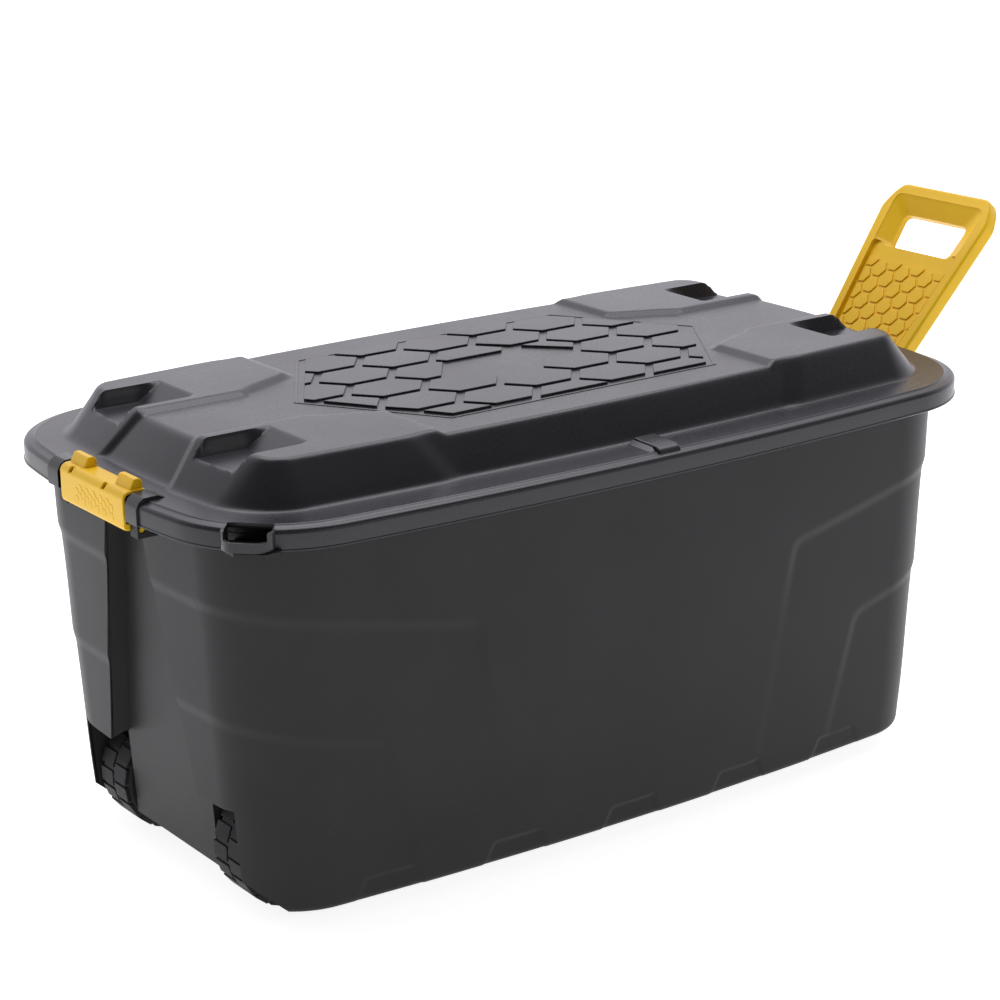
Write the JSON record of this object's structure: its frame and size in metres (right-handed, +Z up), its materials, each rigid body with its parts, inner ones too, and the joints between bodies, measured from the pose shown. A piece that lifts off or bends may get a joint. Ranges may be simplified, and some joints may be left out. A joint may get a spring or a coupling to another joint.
{
  "type": "deck storage box",
  "caption": "Wheeled storage box with a domed lift-off lid, a hooked end latch and a flat pull handle that folds down against the end wall.",
  "frame": {"origin": "on the floor, under the middle of the whole object's box with the pull handle raised", "axes": "+X along the box from the wheel and latch end to the pull handle end, +Y from the front long wall to the back one, +Z up"},
  "size_m": [1.1462, 0.542, 0.5673],
  "materials": {
    "tub_plastic": "black polypropylene, fine grain",
    "lid_plastic": "black polypropylene, satin",
    "yellow_plastic": "yellow polypropylene, satin",
    "wheel_plastic": "black moulded plastic",
    "pin_steel": "zinc plated"
  },
  "bodies": {
    "tub": {"tub_shell": "tub_plastic", "axle_pin_left": "pin_steel", "axle_pin_right": "pin_steel"},
    "lid": {"lid_shell": "lid_plastic"},
    "latch": {"latch": "yellow_plastic"},
    "pull_handle": {"pull_handle": "yellow_plastic"},
    "wheel_left": {"wheel_left": "wheel_plastic"},
    "wheel_right": {"wheel_right": "wheel_plastic"}
  },
  "joints": [
    {"name": "lid_lift", "type": "slide", "parent": "tub", "child": "lid", "axis": [0, 0, 1], "range_m": [0, 0.3]},
    {"name": "latch_hinge", "type": "hinge", "parent": "tub", "child": "latch", "pos_m": [-0.55661, 0, 0.3935], "axis": [0, -1, 0], "range_deg": [0, 130]},
    {"name": "handle_hinge", "type": "hinge", "parent": "tub", "child": "pull_handle", "pos_m": [0.40123, 0, 0.358], "axis": [0, 1, 0], "range_deg": [0, 141]},
    {"name": "wheel_left_spin", "type": "hinge", "parent": "tub", "child": "wheel_left", "pos_m": [-0.44673, 0.118, 0.06], "axis": [0, 1, 0], "continuous": true},
    {"name": "wheel_right_spin", "type": "hinge", "parent": "tub", "child": "wheel_right", "pos_m": [-0.44673, -0.118, 0.06], "axis": [0, 1, 0], "continuous": true}
  ]
}
